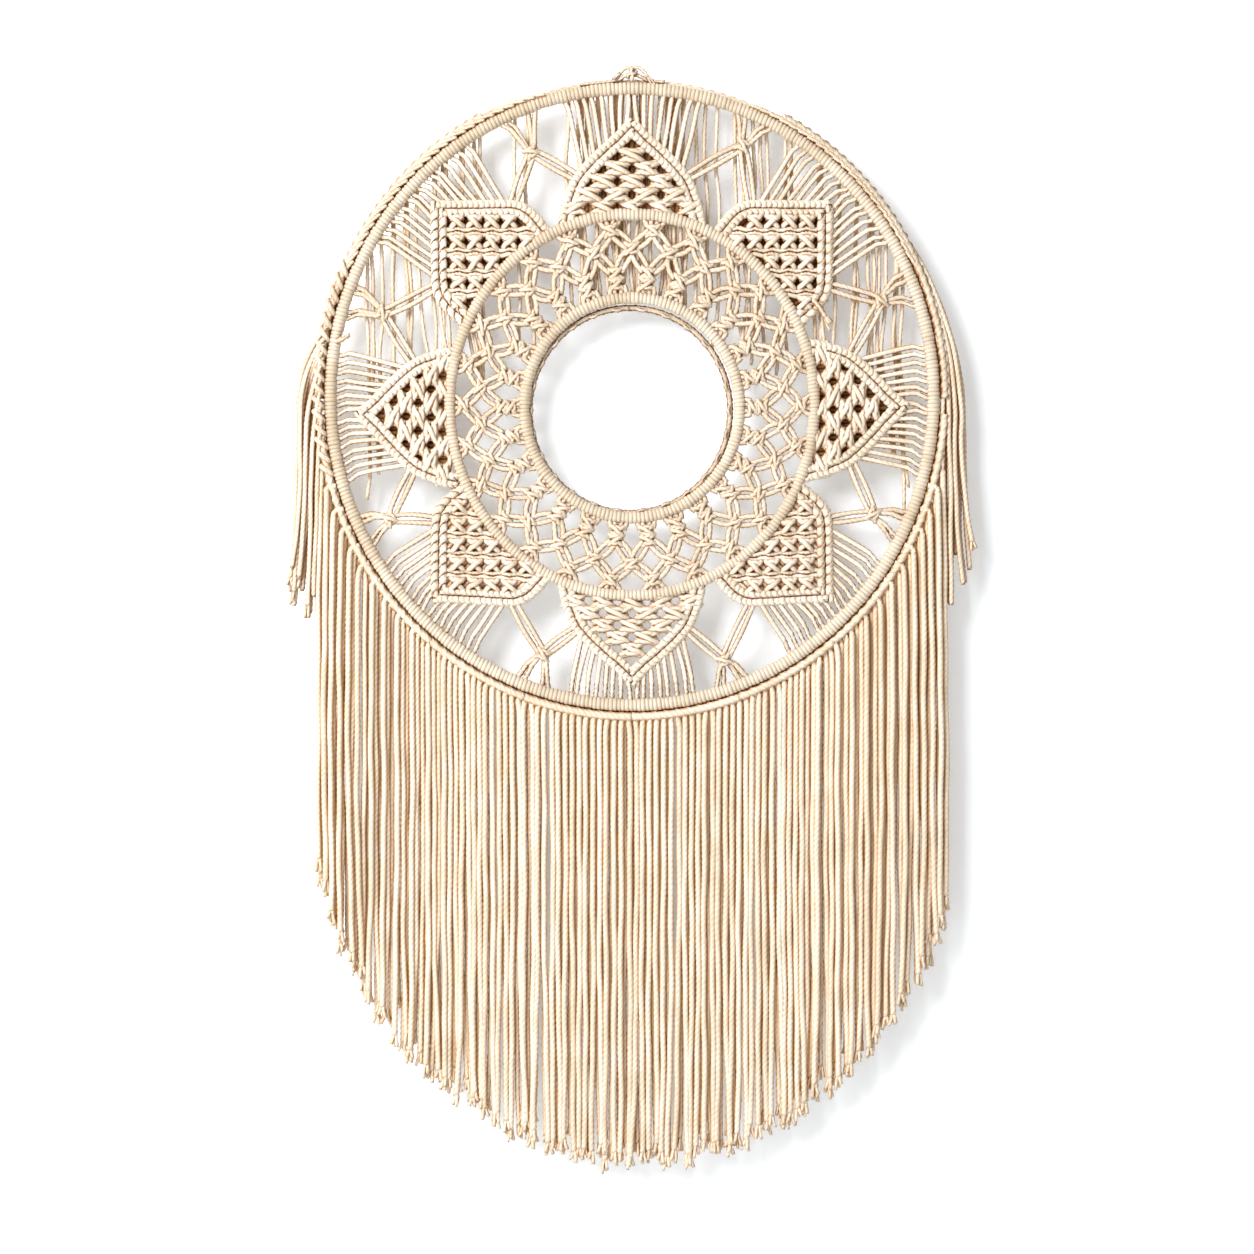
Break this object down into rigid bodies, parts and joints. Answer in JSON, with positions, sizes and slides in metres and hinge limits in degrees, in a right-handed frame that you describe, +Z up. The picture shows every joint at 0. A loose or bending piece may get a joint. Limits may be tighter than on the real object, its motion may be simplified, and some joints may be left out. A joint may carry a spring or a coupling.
{
  "type": "macrame dreamcatcher wall hanging worked over three hoops",
  "caption": "Round macrame wall hanging of cream cotton cord knotted over three nested hoops, with an open centre and a long fringe.",
  "frame": {"origin": "top of the hanging knot, in the middle plane of the hoops", "axes": "+Z up, +X to the viewer's right, the front faces -Y; the fringe hangs down along -Z"},
  "size_m": [0.5568, 0.0203, 0.8952],
  "materials": {
    "wrapped_cord": "matt, close wraps of twisted cord",
    "knotted_cord": "matt, knotted twisted cord",
    "fringe_cord": "matt, loose three-ply twisted cord"
  },
  "bodies": {
    "root": {"outer_hoop": "wrapped_cord", "middle_hoop": "wrapped_cord", "inner_hoop": "wrapped_cord", "net_1": "knotted_cord", "net_2": "knotted_cord", "net_3": "knotted_cord", "net_4": "knotted_cord", "net_5": "knotted_cord", "net_6": "knotted_cord", "net_7": "knotted_cord", "net_8": "knotted_cord", "petal_1": "knotted_cord", "petal_2": "knotted_cord", "petal_3": "knotted_cord", "petal_4": "knotted_cord", "petal_5": "knotted_cord", "petal_6": "knotted_cord", "petal_7": "knotted_cord", "petal_8": "knotted_cord", "crossing_1": "knotted_cord", "crossing_2": "knotted_cord", "crossing_3": "knotted_cord", "crossing_4": "knotted_cord", "crossing_5": "knotted_cord", "crossing_6": "knotted_cord", "crossing_7": "knotted_cord", "crossing_8": "knotted_cord", "top_knot": "knotted_cord", "fringe_left_1": "fringe_cord", "fringe_left_2": "fringe_cord", "fringe_left_3": "fringe_cord", "fringe_right_1": "fringe_cord", "fringe_right_2": "fringe_cord", "fringe_right_3": "fringe_cord", "side_strands_left": "fringe_cord", "side_strands_right": "fringe_cord", "back_strands_1": "fringe_cord", "back_strands_2": "fringe_cord", "back_strands_3": "fringe_cord", "back_strands_4": "fringe_cord"}
  },
  "joints": []
}
